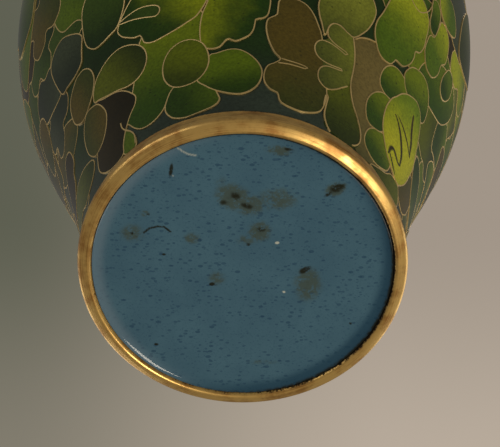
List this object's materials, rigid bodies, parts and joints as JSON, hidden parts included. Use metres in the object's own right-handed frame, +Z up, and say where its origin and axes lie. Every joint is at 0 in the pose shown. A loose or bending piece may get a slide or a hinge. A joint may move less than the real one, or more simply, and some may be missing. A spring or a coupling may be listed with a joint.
{
  "type": "cloisonne vase",
  "caption": "Baluster vase of copper with leaf cloisonne enamel, a narrow neck, a gilt mouth bead and a gilt foot ring around a blue enamelled base.",
  "frame": {"origin": "centre of the foot ring's resting face", "axes": "+Z up along the vase's axis towards the mouth; -Y is the front, the side whose lower leaves the reference shows"},
  "size_m": [0.1232, 0.1232, 0.2312],
  "materials": {
    "gilt": "worn satin gilding, brushed round the ring",
    "copper": "raised sheet copper, bare under the enamel",
    "ground_enamel": "polished vitreous enamel, dark green to slate",
    "green_enamel": "polished vitreous enamel shaded dark to bright green",
    "olive_enamel": "polished vitreous enamel shaded olive to brown",
    "yellow_enamel": "polished vitreous enamel shaded yellow to green",
    "brown_enamel": "polished vitreous enamel shaded brown to olive",
    "blue_enamel": "fire-finished counter enamel with specks and firing marks"
  },
  "bodies": {
    "root": {"foot_ring": "gilt", "mouth_bead": "gilt", "base_enamel": "blue_enamel", "copper_base_plate": "copper", "copper_foot": "copper", "copper_belly": "copper", "copper_shoulder": "copper", "copper_upper_shoulder": "copper", "copper_neck": "copper", "lining_enamel": "blue_enamel", "ground_enamel": "ground_enamel", "wire_bud_low_front": "gilt", "enamel_bud_low_front": "olive_enamel", "wire_drop_low_left": "gilt", "enamel_drop_low_left": "olive_enamel", "wire_lance_low_right": "gilt", "enamel_lance_low_right": "yellow_enamel", "wire_oak_front_right": "gilt", "enamel_oak_front_right": "yellow_enamel", "wire_drop_low_back": "gilt", "enamel_drop_low_back": "green_enamel", "wire_oak_low_back_right": "gilt", "enamel_oak_low_back_right": "brown_enamel", "wire_lance_low_back_left": "gilt", "enamel_lance_low_back_left": "green_enamel", "wire_lobed_belly_front": "gilt", "enamel_lobed_belly_front": "green_enamel", "wire_lance_belly_right": "gilt", "enamel_lance_belly_right": "olive_enamel", "wire_lobed_belly_back": "gilt", "enamel_lobed_belly_back": "brown_enamel", "wire_oak_belly_back_left": "gilt", "enamel_oak_belly_back_left": "yellow_enamel", "wire_lobed_belly_left": "gilt", "enamel_lobed_belly_left": "green_enamel", "wire_drop_shoulder_front": "gilt", "enamel_drop_shoulder_front": "olive_enamel", "wire_oak_shoulder_right": "gilt", "enamel_oak_shoulder_right": "green_enamel", "wire_lobed_shoulder_back": "gilt", "enamel_lobed_shoulder_back": "olive_enamel", "wire_lance_shoulder_left": "gilt", "enamel_lance_shoulder_left": "yellow_enamel"}
  },
  "joints": []
}
